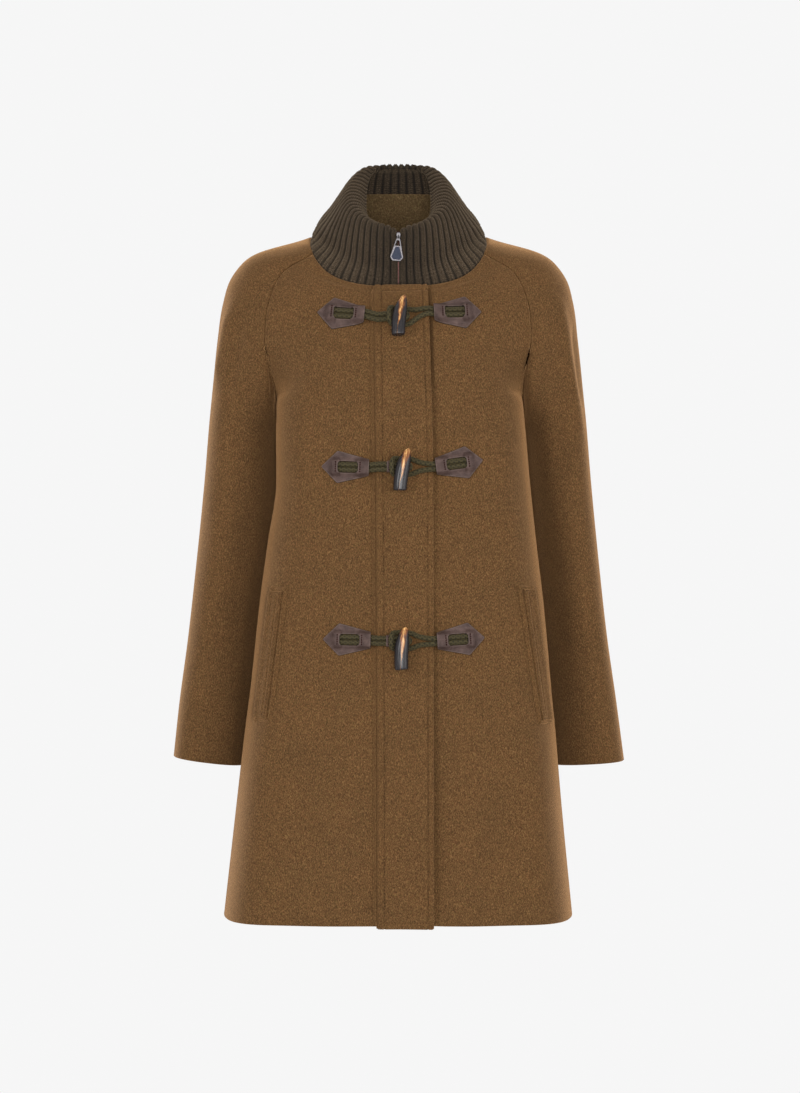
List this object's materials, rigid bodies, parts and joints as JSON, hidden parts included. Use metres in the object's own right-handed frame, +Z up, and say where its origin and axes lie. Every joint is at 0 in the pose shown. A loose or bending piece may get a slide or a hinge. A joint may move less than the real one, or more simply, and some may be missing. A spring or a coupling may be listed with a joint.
{
  "type": "toggle coat",
  "caption": "Thigh-length felted wool toggle coat with a rib-knit funnel collar, raglan sleeves, a placket over the zip, leather-patched toggle fastenings and welt pockets, filled out as worn.",
  "frame": {"origin": "midway between the two sides of the neck, at the height where the coat rests on the wearer's shoulders", "axes": "+Z up, +X to the wearer's left, the wearer faces -Y"},
  "size_m": [0.5705, 0.311, 0.9554],
  "materials": {
    "wool_cloth": "brushed felted wool, tan nap on a dark brown ground",
    "rib_knit": "dark brown rib knit",
    "leather": "matt smooth leather with a raw cut edge",
    "braided_cord": "dark olive braided cord",
    "horn": "polished dark horn with an amber streak",
    "zip_tape": "woven tape",
    "zip_metal": "plated metal, slightly darkened"
  },
  "bodies": {
    "coat": {"back": "wool_cloth", "front_right": "wool_cloth", "front_left": "wool_cloth", "sleeve_right": "wool_cloth", "sleeve_left": "wool_cloth", "placket": "wool_cloth", "neck_facing": "wool_cloth", "pocket_welt_right": "wool_cloth", "pocket_welt_left": "wool_cloth", "rib_collar": "rib_knit", "zip_tape_right": "zip_tape", "zip_tape_left": "zip_tape", "zip_chain": "zip_metal", "zip_slider": "zip_metal", "patch_right_1": "leather", "patch_left_1": "leather", "toggle_cord_1": "braided_cord", "loop_cord_1": "braided_cord", "toggle_1": "horn", "patch_right_2": "leather", "patch_left_2": "leather", "toggle_cord_2": "braided_cord", "loop_cord_2": "braided_cord", "toggle_2": "horn", "patch_right_3": "leather", "patch_left_3": "leather", "toggle_cord_3": "braided_cord", "loop_cord_3": "braided_cord", "toggle_3": "horn"},
    "tab": {"pull_tab": "zip_metal"}
  },
  "joints": [
    {"name": "pull_tab_swing", "type": "hinge", "parent": "coat", "child": "tab", "pos_m": [0, -0.0792, -0.0072], "axis": [-1, 0, 0], "range_deg": [0, 150]}
  ]
}
